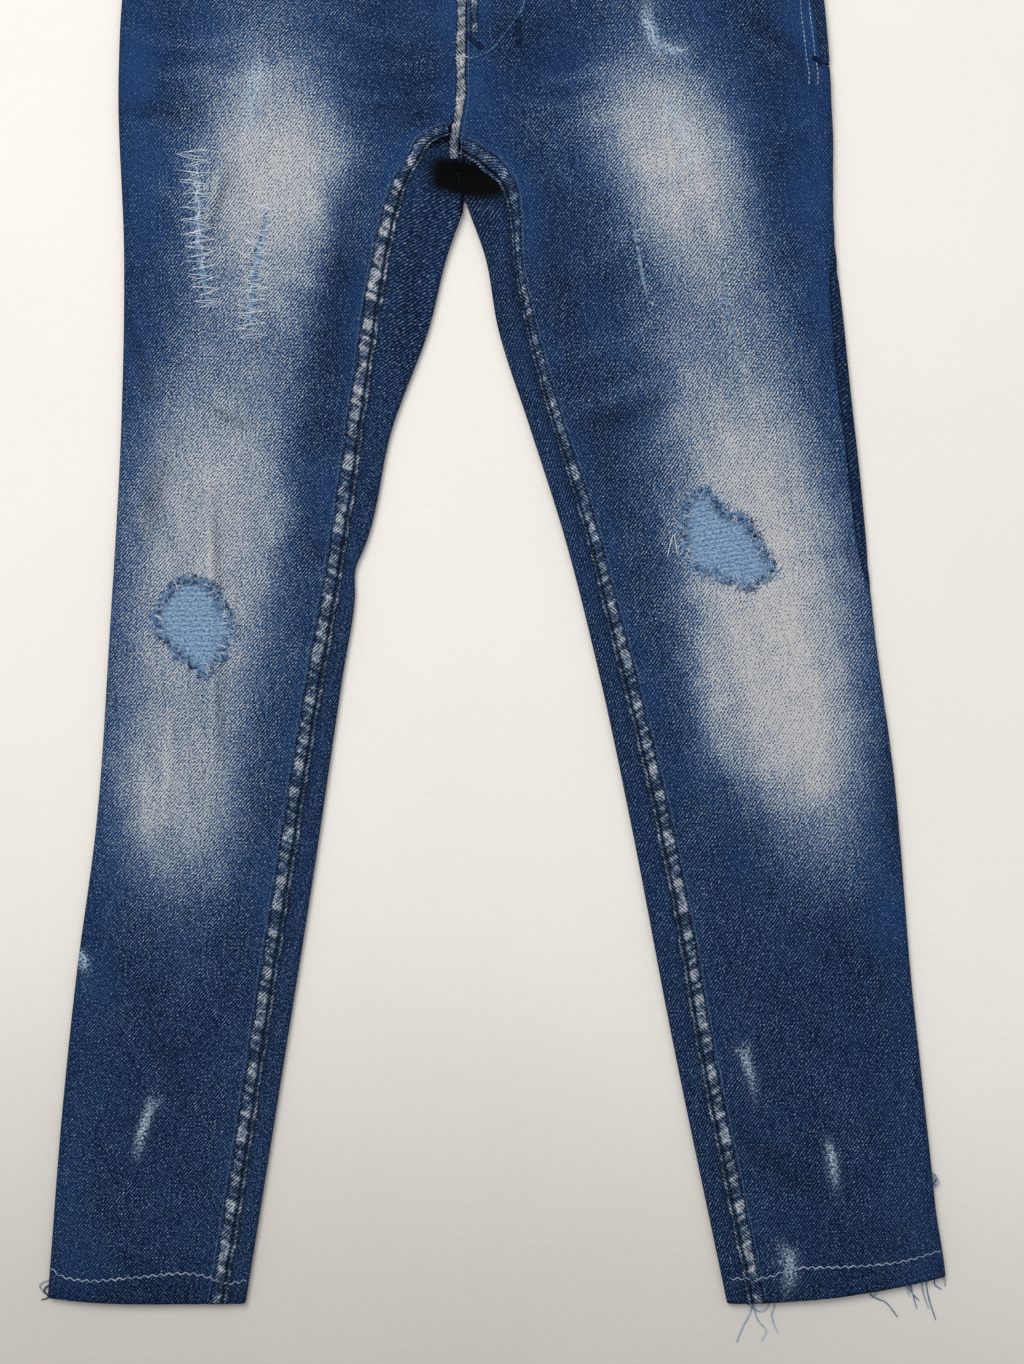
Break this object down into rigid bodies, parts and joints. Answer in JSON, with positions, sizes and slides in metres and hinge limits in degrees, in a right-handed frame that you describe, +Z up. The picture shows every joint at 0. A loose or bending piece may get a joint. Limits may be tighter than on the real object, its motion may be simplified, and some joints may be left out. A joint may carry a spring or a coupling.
{
  "type": "ripped jeans",
  "caption": "Straight-leg denim jeans laid flat on their back, faded on the thighs and knees, torn and mended, with pale blue patches behind the knee holes.",
  "frame": {"origin": "middle of the garment's box in plan, on the surface that the garment lies on", "axes": "+Z up out of the surface and out of the garment's front, +Y from the hems to the waist, +X towards the wearer's left"},
  "size_m": [0.6118, 1.027, 0.0127],
  "materials": {
    "denim": "worn indigo twill, faded grey-beige on the thighs and knees",
    "seam_denim": "abraded felled seam, paler along its ridge",
    "patch_cloth": "light blue coarse cloth behind the tears",
    "brass": "aged satin"
  },
  "bodies": {
    "root": {"front_panel_right": "denim", "front_panel_left": "denim", "back_panel_right": "denim", "back_panel_left": "denim", "back_yoke_right": "denim", "back_yoke_left": "denim", "waistband": "denim", "waist_button": "brass", "belt_loop_front_right": "denim", "belt_loop_front_left": "denim", "belt_loop_back_right": "denim", "belt_loop_back_centre": "denim", "belt_loop_back_left": "denim", "fly_facing": "denim", "pocket_facing_right": "denim", "pocket_facing_left": "denim", "back_pocket_right": "denim", "back_pocket_left": "denim", "knee_patch_right": "patch_cloth", "knee_patch_left": "patch_cloth", "thigh_patch_right": "patch_cloth", "thigh_patch_left": "patch_cloth", "inseam_right": "seam_denim", "inseam_left": "seam_denim", "front_rise_seam": "seam_denim"}
  },
  "joints": []
}
